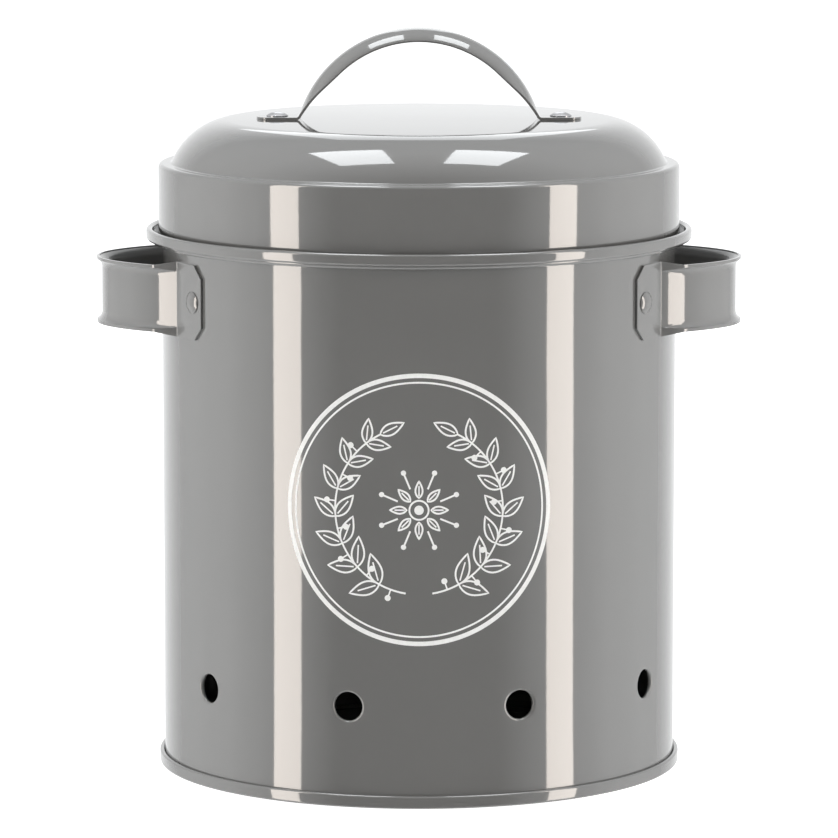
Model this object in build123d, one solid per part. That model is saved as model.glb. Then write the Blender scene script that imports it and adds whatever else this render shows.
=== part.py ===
from build123d import *
from math import acos, asin, cos, degrees, radians, sin, sqrt
import os

# A round sheet-steel storage tin with a lift-off lid, in millimetres, +Z up.
# The origin is the middle of the base on the ground. The front is -Y, and the two
# side handles are on the X axis. Azimuths are degrees from the front towards +X.

# Tin wall
WALL_R = 100.0
WALL_SHEET = 0.5

# Double seam at the foot, where the wall and the base plate hook into each other
BASE_SHEET = 0.5
SEAM_GAP = 0.18
SEAM_HEIGHT = 4.9
SEAM_FOOT_R = 1.0
HOOK_ROOM = 0.65
HOOK_OVERLAP = 1.55
FOLD_SHARE = 0.45

# Base panel, set up inside the seam, with one stiffening bead
PANEL_Z = 5.2
PANEL_CORNER_R = 0.6
BEAD_INSET = 18.0
BEAD_WIDTH = 9.0
BEAD_HEIGHT = 1.2
BEAD_SLOPE = 1.5
BEAD_CORNER_R = 1.0

# Rim: a step that carries the lid, a collar and an outward rolled edge
TIN_HEIGHT = 210.5
COLLAR_STEP = 3.6
ROLL_WIDTH = 2.6
ROLL_HEIGHT = 4.4
ROLL_FOOT_R = 1.0
ROLL_RETURN = 1.6
STEP_BELOW_RIM = 5.4
STEP_EDGE_R = 1.0
STEP_FOOT_R = 0.8

# Lock seam down the wall, on the side away from the label
LOCK_SEAM_AZIMUTH = -157.5
LOCK_SEAM_WIDTH = 7.0
LOCK_SEAM_DEPTH = 1.0
LOCK_SEAM_END_GAP = 1.2
GROOVE_WIDTH = 0.6
GROOVE_DEPTH = 0.25

# Vent holes, pressed round through the wall, with a plain gap at the lock seam
VENT_COUNT = 9
VENT_PITCH = 38.1
VENT_R = 5.4
VENT_LIP_R = 0.3
VENT_Z = 38.3

# Lid
LID_SHEET = 0.5
LID_SEAT_GAP = 0.3
LID_TOP_ABOVE_RIM = 41.84
LID_SIDE_GAP = 2.24
LID_FLAT_INSET = 28.36
SHOULDER_R = 22.7
SHOULDER_TURN = 27.5
DOME_R = 27.4
DOME_TURN = 39.4
DOME_FOOT_R = 1.0
LEDGE_EDGE_R = 1.7
LID_HEM_HEIGHT = 5.0
LID_HEM_FOOT_R = 0.45
LID_HEM_TOP_R = 0.3

# Lid handle: a crowned strap, arched over the lid and flattened into two feet
STRAP_SHEET = 1.0
STRAP_WIDTH = 17.0
STRAP_CROWN = 3.2
STRAP_RISE = 35.36
ARCH_R = 49.0
CROWN_ENDS_AT = 40.0
FOOT_BEND_R = 1.2
FOOT_LENGTH = 15.4
FOOT_CORNER_R = 6.0

# Side handles: flat straps riveted to the wall, with their edges turned outwards
LOOP_SHEET = 1.0
LOOP_SEAT_GAP = 0.05
LOOP_PROJECTION = 23.6
LOOP_HEIGHT = 25.8
LOOP_CENTRE_BELOW_RIM = 24.2
TAB_HEIGHT = 28.8
TAB_CHAMFER = 5.0
TAB_END_AZIMUTH = 55.2
TAB_BEND_AZIMUTH = 66.2
TAB_BEND_R = 0.8
LEG_HEADING = 24.0
LEG_TURN = 8.6
LEG_LENGTH = 9.0
LOOP_TIGHTENS_AT = 54.0
LIP_R = 3.6
LIP_TURN = 63.0
LIP_END = 1.1
LIP_FLAT = 3.7
LIP_ROOT = 0.15

# Rivets
RIVET_HEAD_R = 4.25
RIVET_HEAD_HEIGHT = 1.7
RIVET_HEAD_EDGE = 0.25
RIVET_SHANK_R = 1.9
RIVET_TAIL_R = 3.0
RIVET_TAIL_HEIGHT = 1.0
RIVET_CLEARANCE = 0.05
CURVE_CLEARANCE = 0.02
RIVET_FROM_FOOT_TIP = 8.0
SIDE_RIVET_AZIMUTH = 58.8

# Sizes that follow from the ones above
WALL_IN_R = WALL_R - WALL_SHEET
CHUCK_R = WALL_IN_R - SEAM_GAP - BASE_SHEET
BASE_HOOK_R = WALL_R + SEAM_GAP
WALL_HOOK_R = BASE_HOOK_R + BASE_SHEET + SEAM_GAP + WALL_SHEET
SEAM_R = WALL_HOOK_R + SEAM_GAP + BASE_SHEET
BEAD_R = WALL_R - BEAD_INSET
STEP_Z = TIN_HEIGHT - STEP_BELOW_RIM
COLLAR_IN_R = WALL_R + COLLAR_STEP
RIM_R = COLLAR_IN_R + ROLL_WIDTH
LID_SKIRT_R = COLLAR_IN_R - LID_SIDE_GAP
LID_FLAT_R = LID_SKIRT_R - LID_FLAT_INSET
LID_FOOT_Z = STEP_Z + LID_SEAT_GAP
LID_TOP_Z = TIN_HEIGHT + LID_TOP_ABOVE_RIM
ARCH_Z = LID_TOP_Z + STRAP_RISE - ARCH_R
FOOT_BEND_Z = LID_TOP_Z + STRAP_SHEET + FOOT_BEND_R
FOOT_ANGLE = degrees(asin((FOOT_BEND_Z - ARCH_Z) / (ARCH_R + FOOT_BEND_R)))
FOOT_BEND_X = (ARCH_R + FOOT_BEND_R) * cos(radians(FOOT_ANGLE))
LID_RIVET_X = FOOT_BEND_X + FOOT_LENGTH - RIVET_FROM_FOOT_TIP
LOOP_REACH = WALL_R + LOOP_PROJECTION
LOOP_Z = TIN_HEIGHT - LOOP_CENTRE_BELOW_RIM
TAB_IN_R = WALL_R + LOOP_SEAT_GAP
TAB_OUT_R = TAB_IN_R + LOOP_SHEET
HOLE_R = RIVET_SHANK_R + RIVET_CLEARANCE


def sheet_profile(path, sheet, side):
    """The closed outline of a sheet whose one face follows the path."""
    return make_face(offset(path, amount=sheet, side=side, kind=Kind.ARC).edges())


def turned(profile):
    """A full turn about Z of a profile drawn with X as the radius and Y as the height."""
    return revolve(Plane.XZ * profile, axis=Axis.Z)


def at_azimuth(azimuth, shape):
    """A shape drawn towards +X, turned to face the azimuth."""
    return Rot(0, 0, azimuth - 90) * shape


def facing_out(azimuth, radius, height):
    """A plane on the wall whose Z points straight out and whose Y points up."""
    out = Vector(sin(radians(azimuth)), -cos(radians(azimuth)), 0)
    origin = Vector(0, 0, height) + out * radius
    return Plane(origin=origin, x_dir=Vector(0, 0, 1).cross(out), z_dir=out)


def wall_profile():
    """The wall from the hook of the double seam up to the rolled rim."""
    hook_fold = FOLD_SHARE * (WALL_HOOK_R - WALL_IN_R)
    rim_fold = FOLD_SHARE * ROLL_WIDTH
    foot_z = BASE_SHEET + SEAM_GAP
    roll_foot_z = TIN_HEIGHT - ROLL_HEIGHT
    path = FilletPolyline(
        (WALL_HOOK_R, SEAM_HEIGHT - BASE_SHEET - HOOK_ROOM),
        (WALL_HOOK_R, foot_z),
        (WALL_IN_R, foot_z),
        (WALL_IN_R, STEP_Z),
        (COLLAR_IN_R, STEP_Z),
        (COLLAR_IN_R, TIN_HEIGHT),
        (RIM_R, TIN_HEIGHT),
        (RIM_R, roll_foot_z),
        (RIM_R - ROLL_RETURN, roll_foot_z),
        radius=[hook_fold, hook_fold, STEP_EDGE_R, STEP_FOOT_R, rim_fold, rim_fold, ROLL_FOOT_R],
    )
    return sheet_profile(path, WALL_SHEET, Side.RIGHT)


def lock_seam():
    """The folded seam inside the wall, and the fine groove that it leaves outside."""
    low = PANEL_Z + BASE_SHEET + BEAD_HEIGHT + LOCK_SEAM_END_GAP
    high = STEP_Z - STEP_EDGE_R - LOCK_SEAM_END_GAP
    turn = degrees(LOCK_SEAM_WIDTH / WALL_R)
    fold_depth = LOCK_SEAM_DEPTH + WALL_SHEET / 2
    fold_at = Pos(WALL_IN_R - LOCK_SEAM_DEPTH + fold_depth / 2, (low + high) / 2)
    fold = revolve(Plane.XZ * fold_at * Rectangle(fold_depth, high - low), Axis.Z, turn)
    fold = Rot(0, 0, -turn / 2) * fold
    groove_low = SEAM_HEIGHT + SEAM_GAP
    groove_turn = degrees(GROOVE_WIDTH / WALL_R)
    groove_at = Pos(WALL_R, (groove_low + high) / 2)
    groove_area = Rectangle(2 * GROOVE_DEPTH, high - groove_low)
    groove = revolve(Plane.XZ * groove_at * groove_area, Axis.Z, groove_turn)
    groove = Rot(0, 0, -groove_turn / 2) * groove
    return at_azimuth(LOCK_SEAM_AZIMUTH, fold), at_azimuth(LOCK_SEAM_AZIMUTH, groove)


def vent_azimuths():
    """The vents are spaced evenly, centred opposite the lock seam."""
    middle = LOCK_SEAM_AZIMUTH + 180
    return [middle + (i - (VENT_COUNT - 1) / 2) * VENT_PITCH for i in range(VENT_COUNT)]


def rivet_places():
    """The azimuth of each side-handle rivet, by its name."""
    return {
        "right_front_rivet": SIDE_RIVET_AZIMUTH,
        "right_back_rivet": 180 - SIDE_RIVET_AZIMUTH,
        "left_back_rivet": 180 + SIDE_RIVET_AZIMUTH,
        "left_front_rivet": -SIDE_RIVET_AZIMUTH,
    }


def body_wall():
    fold, groove = lock_seam()
    wall = turned(wall_profile()) + fold - groove
    for azimuth in vent_azimuths():
        wall -= facing_out(azimuth, WALL_R, VENT_Z) * Cylinder(VENT_R, 4 * WALL_SHEET)
    outer_vent_edges = [
        edge
        for edge in wall.edges()
        if abs(edge.bounding_box().size.Z - 2 * VENT_R) < 0.1
        and Vector((edge @ 0).X, (edge @ 0).Y).length > WALL_R - 0.01
    ]
    wall = fillet(outer_vent_edges, VENT_LIP_R)
    for azimuth in rivet_places().values():
        wall -= facing_out(azimuth, WALL_R, LOOP_Z) * Cylinder(HOLE_R, 4 * WALL_SHEET)
    return wall


def base_plate():
    """The base, from its beaded panel through the chuck wall to the hook of the seam."""
    fold = FOLD_SHARE * (SEAM_R - BASE_HOOK_R)
    bead_in, bead_out = BEAD_R - BEAD_WIDTH / 2, BEAD_R + BEAD_WIDTH / 2
    bead_z = PANEL_Z + BEAD_HEIGHT
    path = FilletPolyline(
        (0, PANEL_Z),
        (bead_in, PANEL_Z),
        (bead_in + BEAD_SLOPE, bead_z),
        (bead_out - BEAD_SLOPE, bead_z),
        (bead_out, PANEL_Z),
        (CHUCK_R, PANEL_Z),
        (CHUCK_R, 0),
        (SEAM_R, 0),
        (SEAM_R, SEAM_HEIGHT),
        (BASE_HOOK_R, SEAM_HEIGHT),
        (BASE_HOOK_R, SEAM_HEIGHT - BASE_SHEET - HOOK_ROOM - HOOK_OVERLAP),
        radius=[BEAD_CORNER_R] * 4 + [PANEL_CORNER_R, SEAM_FOOT_R, SEAM_FOOT_R, fold, fold],
    )
    return turned(sheet_profile(path, BASE_SHEET, Side.LEFT))


def lid_profile():
    """The lid from the middle of its flat top to its folded hem."""
    flat = Line((0, LID_TOP_Z), (LID_FLAT_R, LID_TOP_Z))
    shoulder = JernArc(flat @ 1, flat % 1, SHOULDER_R, -SHOULDER_TURN)
    dome = JernArc(shoulder @ 1, shoulder % 1, DOME_R, -DOME_TURN)
    foot = JernArc(dome @ 1, dome % 1, DOME_FOOT_R, SHOULDER_TURN + DOME_TURN)
    ledge = Line(foot @ 1, (LID_SKIRT_R - LEDGE_EDGE_R, (foot @ 1).Y))
    edge = JernArc(ledge @ 1, ledge % 1, LEDGE_EDGE_R, -90)
    skirt = Line(edge @ 1, (LID_SKIRT_R, LID_FOOT_Z + LID_HEM_HEIGHT / 2))
    shell = sheet_profile(Wire([flat, shoulder, dome, foot, ledge, edge, skirt]), LID_SHEET, Side.RIGHT)
    hem_middle = Pos(LID_SKIRT_R - LID_SHEET, LID_FOOT_Z + LID_HEM_HEIGHT / 2)
    hem = hem_middle * Rectangle(2 * LID_SHEET, LID_HEM_HEIGHT)
    hem = fillet(hem.vertices().group_by(Axis.Y)[0], LID_HEM_FOOT_R)
    hem = fillet(hem.vertices().sort_by(Axis.Y)[-2:].sort_by(Axis.X)[0], LID_HEM_TOP_R)
    return shell + hem


def lid_shell():
    lid = turned(lid_profile())
    for x in (-LID_RIVET_X, LID_RIVET_X):
        lid -= Pos(x, 0, LID_TOP_Z) * Cylinder(HOLE_R, 4 * LID_SHEET)
    return lid


def strap_section(crown):
    """The crowned strap across, its crest at the origin, outwards along X, width along Y."""
    half = STRAP_WIDTH / 2
    if crown == 0:
        return Pos(-STRAP_SHEET / 2, 0) * Rectangle(STRAP_SHEET, STRAP_WIDTH)
    outer_r = (half**2 + crown**2) / (2 * crown)
    swing = degrees(asin(half / outer_r))
    outer = CenterArc((-outer_r, 0), outer_r, -swing, 2 * swing)
    inner = CenterArc((-outer_r, 0), outer_r - STRAP_SHEET, -swing, 2 * swing)
    return make_face([outer, inner, Line(outer @ 0, inner @ 0), Line(outer @ 1, inner @ 1)])


def lid_handle():
    """One half of the strap is arched, flattened and bent into its foot, then mirrored."""

    def on_arch(angle):
        out = Vector(cos(radians(angle)), 0, sin(radians(angle)))
        along = Vector(out.Z, 0, -out.X)
        return Plane(origin=Vector(0, 0, ARCH_Z) + out * ARCH_R, x_dir=out, z_dir=along)

    arch = revolve(
        on_arch(90) * strap_section(STRAP_CROWN),
        Axis((0, 0, ARCH_Z), (0, 1, 0)),
        90 - CROWN_ENDS_AT,
    )
    steps = 5
    flattening = [
        on_arch(CROWN_ENDS_AT + (FOOT_ANGLE - CROWN_ENDS_AT) * i / steps)
        * strap_section(STRAP_CROWN * (1 - i / steps))
        for i in range(steps + 1)
    ]
    shank = loft(flattening)
    bend = revolve(flattening[-1], Axis((FOOT_BEND_X, 0, FOOT_BEND_Z), (0, -1, 0)), 90 - FOOT_ANGLE)
    foot = Pos(FOOT_BEND_X + FOOT_LENGTH / 2, 0) * Rectangle(FOOT_LENGTH, STRAP_WIDTH)
    foot = fillet(foot.vertices().group_by(Axis.X)[-1], FOOT_CORNER_R)
    foot -= Pos(LID_RIVET_X, 0) * Circle(HOLE_R)
    half = arch + shank + bend + Pos(0, 0, LID_TOP_Z) * extrude(foot, STRAP_SHEET)
    return half + mirror(half, Plane.YZ)


def loop_section(flared):
    """The side strap across: outer face at X = 0, hand side at +X, height along Y.

    A flared lip is an arc outwards with a short upright end. At the tab it lies flat.
    """
    half = LOOP_HEIGHT / 2 if flared else TAB_HEIGHT / 2
    hand_r = LIP_R + LOOP_SHEET
    proud = LIP_R * (1 - cos(radians(LIP_TURN)))
    hand_turn = degrees(acos((hand_r - proud) / hand_r))
    root = half - LIP_END - LIP_R * sin(radians(LIP_TURN)) if flared else half - LIP_FLAT
    edges = [Line((x, -root), (x, root)) for x in (0, LOOP_SHEET)]
    for up in (1, -1):
        if flared:
            centre = (-LIP_R, up * root)
            inner = CenterArc(centre, hand_r, 0, up * hand_turn)
            outer = CenterArc(centre, LIP_R, 0, up * LIP_TURN)
        else:
            inner, outer = (Line((x, up * root), (x, up * (root + LIP_ROOT))) for x in (LOOP_SHEET, 0))
        inner_end = Line(inner @ 1, ((inner @ 1).X, up * half))
        outer_end = Line(outer @ 1, ((outer @ 1).X, up * half))
        edges += [inner, outer, inner_end, outer_end, Line(inner_end @ 1, outer_end @ 1)]
    return make_face(edges)


def loop_plane(place, heading):
    """A plane across the strap, its X towards the hand side and its Y up."""
    along = Vector(cos(radians(heading)), sin(radians(heading)), 0)
    return Plane(origin=(place.X, place.Y, LOOP_Z), x_dir=Vector(-along.Y, along.X, 0), z_dir=-along)


def swung(section, place, heading, radius, turn):
    """The section swung about an upright axis: a positive turn goes to the hand side."""
    side = loop_plane(place, heading).x_dir * (radius if turn > 0 else -radius)
    centre = Vector(place.X, place.Y, LOOP_Z) + side
    solid = revolve(
        loop_plane(place, heading) * section,
        Axis(centre, (0, 0, 1 if turn > 0 else -1)),
        abs(turn),
    )
    arm = Vector(place.X - centre.X, place.Y - centre.Y, 0).rotate(Axis.Z, turn)
    return solid, Vector(centre.X, centre.Y, 0) + arm


def tab():
    """The front tab: a piece of a cylinder with its end corners cut, and its rivet hole."""
    band = Pos((TAB_IN_R + TAB_OUT_R) / 2, LOOP_Z) * Rectangle(LOOP_SHEET, TAB_HEIGHT)
    plate = revolve(Plane.XZ * band, Axis.Z, TAB_BEND_AZIMUTH - TAB_END_AZIMUTH)
    plate = at_azimuth(TAB_END_AZIMUTH, plate)
    at_end = facing_out(TAB_END_AZIMUTH, WALL_R, LOOP_Z)
    for up in (1, -1):
        top = up * TAB_HEIGHT / 2
        corner = make_face(Polyline((0, top), (TAB_CHAMFER, top), (0, top - up * TAB_CHAMFER), close=True))
        plate -= at_end * extrude(corner, 4 * LOOP_SHEET, both=True)
    return plate - facing_out(SIDE_RIVET_AZIMUTH, WALL_R, LOOP_Z) * Cylinder(HOLE_R, 6 * LOOP_SHEET)


def right_handle():
    """The front half is led from its tab to the outermost point, then mirrored."""
    start = Vector(TAB_OUT_R * sin(radians(TAB_BEND_AZIMUTH)), -TAB_OUT_R * cos(radians(TAB_BEND_AZIMUTH)))
    flat, flared = loop_section(False), loop_section(True)
    bend, leg_start = swung(flat, start, TAB_BEND_AZIMUTH, TAB_BEND_R, LEG_HEADING - TAB_BEND_AZIMUTH)
    leg_heading = radians(LEG_HEADING + LEG_TURN / 2)
    leg_end = leg_start + Vector(cos(leg_heading), sin(leg_heading)) * LEG_LENGTH
    end_heading = LEG_HEADING + LEG_TURN
    leg = loft(
        [loop_plane(leg_start, LEG_HEADING) * flat, loop_plane(leg_end, end_heading) * flared],
        ruled=True,
    )
    # Two tangent arcs close the way from the leg's end to the outermost point.
    first, second = radians(end_heading), radians(LOOP_TIGHTENS_AT)
    across, back = LOOP_REACH - leg_end.X, -leg_end.Y
    a, b = sin(second) - sin(first), 1 - sin(second)
    c, d = cos(first) - cos(second), cos(second)
    wide_r = (across * d - b * back) / (a * d - b * c)
    tight_r = (a * back - across * c) / (a * d - b * c)
    wide, middle = swung(flared, leg_end, end_heading, wide_r, LOOP_TIGHTENS_AT - end_heading)
    tight, _ = swung(flared, middle, LOOP_TIGHTENS_AT, tight_r, 90 - LOOP_TIGHTENS_AT)
    half = tab() + bend + leg + wide + tight
    return half + mirror(half, Plane.XZ)


def rivet(grip):
    """A domed rivet along Z: its head stands on Z = 0, and its tail lies below the grip."""
    rise = RIVET_HEAD_HEIGHT - RIVET_HEAD_EDGE
    dome_r = (RIVET_HEAD_R**2 + rise**2) / (2 * rise)
    top = (0, RIVET_HEAD_HEIGHT)
    rim = (RIVET_HEAD_R, RIVET_HEAD_EDGE)
    bottom = -grip - RIVET_TAIL_HEIGHT
    outline = [
        RadiusArc(top, rim, dome_r),
        Polyline(rim, (RIVET_HEAD_R, 0), (RIVET_SHANK_R, 0), (RIVET_SHANK_R, -grip), (RIVET_TAIL_R, -grip)),
        Polyline((RIVET_TAIL_R, -grip), (RIVET_TAIL_R - RIVET_TAIL_HEIGHT / 2, bottom), (0, bottom), top),
    ]
    return turned(make_face(outline))


def side_rivet(azimuth):
    """The head clears the curved tab, and the tail clears the inside of the wall."""
    head_r = TAB_OUT_R + CURVE_CLEARANCE
    tail_r = sqrt(WALL_IN_R**2 - RIVET_TAIL_R**2) - CURVE_CLEARANCE
    return facing_out(azimuth, head_r, LOOP_Z) * rivet(head_r - tail_r)


def lid_rivet(x):
    return Pos(x, 0, LID_TOP_Z + STRAP_SHEET) * rivet(STRAP_SHEET + LID_SHEET)


def build():
    """Every piece of the tin, by its name."""
    pieces = {
        "body_wall": body_wall(),
        "base_plate": base_plate(),
        "right_handle": right_handle(),
        "lid_shell": lid_shell(),
        "lid_handle": lid_handle(),
        "lid_left_rivet": lid_rivet(-LID_RIVET_X),
        "lid_right_rivet": lid_rivet(LID_RIVET_X),
    }
    pieces["left_handle"] = mirror(pieces["right_handle"], Plane.YZ)
    for name, azimuth in rivet_places().items():
        pieces[name] = side_rivet(azimuth)
    return pieces


os.makedirs("parts", exist_ok=True)
for name, piece in build().items():
    export_step(piece, f"parts/{name}.step")
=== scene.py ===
"""A gloss-painted steel storage tin with a lift-off lid: its pieces, finishes and studio."""

from math import acos, asin, ceil, cos, pi, radians, sin, sqrt, tan

import bmesh
import bpy
from mathutils import Matrix, Vector


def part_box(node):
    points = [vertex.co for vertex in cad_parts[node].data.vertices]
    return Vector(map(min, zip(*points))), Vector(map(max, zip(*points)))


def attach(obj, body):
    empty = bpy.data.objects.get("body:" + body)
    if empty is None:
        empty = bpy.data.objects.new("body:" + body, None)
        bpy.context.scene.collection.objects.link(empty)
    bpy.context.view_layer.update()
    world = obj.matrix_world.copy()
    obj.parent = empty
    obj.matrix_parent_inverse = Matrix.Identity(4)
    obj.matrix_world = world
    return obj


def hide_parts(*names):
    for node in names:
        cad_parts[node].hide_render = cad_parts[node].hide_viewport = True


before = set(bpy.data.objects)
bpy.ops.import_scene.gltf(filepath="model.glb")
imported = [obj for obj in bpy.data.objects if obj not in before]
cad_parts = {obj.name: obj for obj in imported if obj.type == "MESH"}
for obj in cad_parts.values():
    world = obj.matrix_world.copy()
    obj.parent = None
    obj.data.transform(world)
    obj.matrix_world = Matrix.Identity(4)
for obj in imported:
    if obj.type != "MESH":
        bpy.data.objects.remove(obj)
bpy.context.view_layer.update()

bl_info = {
    "name": "Painted steel storage tin",
    "version": (1, 0, 0),
    "blender": (4, 5, 0),
    "location": "View3D > Sidebar > Tin",
    "description": "Builds a round painted tin with a riveted strap handle on its lid",
    "category": "Object",
}

MM = 0.001

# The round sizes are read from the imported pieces, so the looks follow the metalwork.
RIM_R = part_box("body_wall")[1].x
RIM_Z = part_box("body_wall")[1].z
SEAM_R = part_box("base_plate")[1].x
SKIRT_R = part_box("lid_shell")[1].x
LID_FOOT_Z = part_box("lid_shell")[0].z
LID_TOP_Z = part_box("lid_shell")[1].z
STRAP_TOP_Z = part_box("lid_handle")[1].z
STRAP_TIP_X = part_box("lid_handle")[1].x
STRAP_WIDTH = 2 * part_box("lid_handle")[1].y
TAB_LOW_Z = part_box("right_handle")[0].z
TAB_HIGH_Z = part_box("right_handle")[1].z
LOOP_Z = (TAB_LOW_Z + TAB_HIGH_Z) / 2

# Sheet and wall
SHEET = 0.5 * MM
STRAP_SHEET = 1.0 * MM
SEAM_GAP = 0.18 * MM
WALL_R = SEAM_R - 3 * (SHEET + SEAM_GAP)
WALL_IN_R = WALL_R - SHEET
SEAM_HEIGHT = 4.9 * MM
PANEL_Z = 5.2 * MM
FOLD_SHARE = 0.45
WALL_HOOK_Z = 3.6 * MM
BASE_HOOK_Z = 2.2 * MM
SEAM_FOOT_R = 1.0 * MM
PANEL_CORNER_R = 0.6 * MM

# Stiffening bead in the base
BEAD_IN_R = 77.5 * MM
BEAD_OUT_R = 86.5 * MM
BEAD_SLOPE = 1.5 * MM
BEAD_RISE = 1.2 * MM
BEAD_BEND_R = 1.0 * MM

# Lid step, collar and rolled rim of the wall
LID_STEP_GAP = 0.3 * MM
COLLAR_INSET = 2.6 * MM
STEP_IN_R = 1.0 * MM
STEP_OUT_R = 0.8 * MM
ROLL_HEIGHT = 4.4 * MM
ROLL_TURN_IN = 1.6 * MM
ROLL_BEND_R = 1.0 * MM

# Lid profile
FLAT_R = 73.0 * MM
SHOULDER = (22.7 * MM, radians(27.5))
DOME = (27.4 * MM, radians(39.4))
DOME_FOOT_R = 1.0 * MM
LEDGE_EDGE_R = 1.7 * MM
HEM_HEIGHT = 5.0 * MM
HEM_WIDTH = 1.15 * MM
DOME_CHORDS = (2 * MM, 8 * MM)

# Lid handle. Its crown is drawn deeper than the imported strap's 3.2 mm, nearer to the photograph's.
ARCH_R = 49.0 * MM
CROWN = 4.6 * MM
CROWN_ENDS_AT = radians(40)
CROWN_EASE = 0.3
FOOT_BEND_R = 1.2 * MM
FOOT_CORNER_R = 6.0 * MM
LID_RIVET_X = STRAP_TIP_X - 8.0 * MM

# Side handles
LOOP_SEAT_GAP = 0.05 * MM
TAB_OUT_R = WALL_R + LOOP_SEAT_GAP + STRAP_SHEET
TAB_HEIGHT = TAB_HIGH_Z - TAB_LOW_Z
TAB_CHAMFER = 5.0 * MM
TAB_END = radians(55.2)
TAB_BEND = radians(66.2)
TAB_BEND_R = 0.8 * MM
LEG_HEADING = radians(24)
LEG_TURN = radians(8.6)
LEG_LENGTH = 9.0 * MM
LOOP_HEIGHT = 25.8 * MM
LOOP_TIGHTENS_AT = radians(54)
LIP_R = 3.6 * MM
LIP_TURN = radians(63)
LIP_END = 1.1 * MM
LIP_FLAT = 3.7 * MM
LIP_ROOT = 0.15 * MM
LIP_PROUD = LIP_R * (1 - cos(LIP_TURN))
LOOP_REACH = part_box("right_handle")[1].x - LIP_PROUD
SIDE_RIVET = radians(58.8)

# Rivets
HEAD_R = 4.25 * MM
HEAD_HEIGHT = 1.7 * MM
HEAD_EDGE = 0.25 * MM
SHANK_R = 1.9 * MM
TAIL_R = 3.0 * MM
TAIL_HEIGHT = 1.0 * MM
RIM_ROUND = 0.1 * MM
SHANK_ROUND = 0.05 * MM
TAIL_END_ROUND = 0.45 * MM
CURVE_CLEARANCE = 0.02 * MM

# Vents and lock seam
VENT_Z = 38.3 * MM
VENT_COUNT = 9
VENT_PITCH = radians(38.1)
VENT_ROW = 2.0 * MM
VENT_PATCH = 8.1 * MM
VENT_PATCH_DEPTH = 2 * MM
VENT_DISH_EDGE = 0.8 * MM
# The rings of a vent's lip, in millimetres: how much wider than the hole, and how deep
VENT_DISH = ((0.45, 0.03), (0.2, 0.16), (0.06, 0.36), (0.0, 0.62), (0.0, 0.95))
LOCK_SEAM = radians(-157.5)
LOCK_SEAM_WIDTH = 7.0 * MM
LOCK_SEAM_DEPTH = 1.0 * MM
LOCK_SEAM_FOOT = 8.1 * MM
LOCK_SEAM_TOP = LID_FOOT_Z - 2.5 * MM
GROOVE_TOP = LID_FOOT_Z - 2 * MM
GROOVE_REACH = 4 * MM
GROOVE_HALF = 0.3 * MM
GROOVE_FLOOR_HALF = 0.1 * MM
GROOVE_DEPTH = 0.3 * MM
GROOVE_SIDE_DEPTH = 0.12 * MM
# Where the wall is cut beside the groove, in millimetres from its middle
GROOVE_CUTS = (-0.55, -0.2, 0.0, 0.2, 0.55)

# Print: a thin film of ink on the wall, with a layer for each line that lies over another
INK_LIFT = 0.01 * MM
INK_FILM = 0.05 * MM
LAYER = 0.004 * MM
FINE_RING_INSET = 3.45 * MM
WREATH_R = 32.0 * MM
WREATH_OPENS = radians(9)
WREATH_LEAVES = 7
LEAF_LENGTH = 12.5 * MM
LEAF_WIDTH_SHARE = 0.42
LEAF_ANGLE = radians(46)
BERRY_STALK = 3.4 * MM
BERRY_R = 1.15 * MM
FLOWER_EYE_R = 1.8 * MM
FLOWER_RING_R = 3.6 * MM
FLOWER_DOT_R = 1.0 * MM
# The flower's leaves and its dotted stalks: their count, where they start and end, and their turn
FLOWER_ROWS = ((8, 4.6 * MM, 11.0 * MM, 0.0), (8, 8.6 * MM, 15.2 * MM, 0.5))
RING_STEPS = 240

# Grain of the finishes
PEEL_SIZE = 2.2 * MM
WAVE_SIZE = 60 * MM
MIST_SIZE = 35 * MM
INK_GRAIN = 1.2 * MM
NICK_SIZE = 0.5 * MM

# Photograph: a square frame, the camera's focal length in its pixels and its place
PHOTO_SIDE = 838
FOCAL_PX = 5593.7
SENSOR_MM = 36.0
CAMERA_BACK = 2.1691
CAMERA_HEIGHT = 0.4326
CAMERA_PITCH = 0.1366

# Studio: the level of its walls by how far they lie behind the tin, from 0 in front to 1
STUDIO_WALLS = (
    (0.0, 0.09), (0.10, 0.10), (0.19, 0.45), (0.38, 0.82),
    (0.54, 0.93), (0.72, 0.72), (0.84, 0.5), (1.0, 0.56),
)
WALLS_LEVEL = 1.7
SOFT_LIGHT = (0.92, 0.96, 1, 1)
SOFT_LEVEL = 0.07
WARM = (1.0, 0.91, 0.83)
COOL = (0.95, 0.98, 1.0)

# Floor: it lies just under the tin, and its glow rises from GLOW_LOW beside it to 1 further out
FLOOR_DROP = 0.2 * MM
GLOW_NEAR = 0.12
GLOW_FAR = 0.6
GLOW_LOW = 0.90

# Lamps: places and sizes in metres, powers in watts
TIN_MIDDLE_Z = 0.15
LAMPS_AWAY = 1.5
STRIP_LEFT = radians(-59)
STRIP_RIGHT = radians(63.8)
STRIP_Z = 0.25
STRIP_SIZE = (0.36, 1.9)
STRIP_POWER = 13.6
OVERHEAD_PLACE = (0.505, -0.09, 1.8)
OVERHEAD_SIZE = (0.57, 0.82)
OVERHEAD_POWER = 9.0
BEHIND_PLACE = (0, 2.1, 1.6)
BEHIND_SIZE = (0.8, 1.3)
BEHIND_POWER = 3.5
FILL_AZIMUTH = radians(60)
FILL_Z = 0.2
FILL_SIZE = (0.8, 0.8)
FILL_POWER = 9.5

ROUND_STEPS = 360
ARC_STEP = radians(9)
ROUTE_STEP = 0.7 * MM
SHARP_FROM = radians(32)


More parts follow.
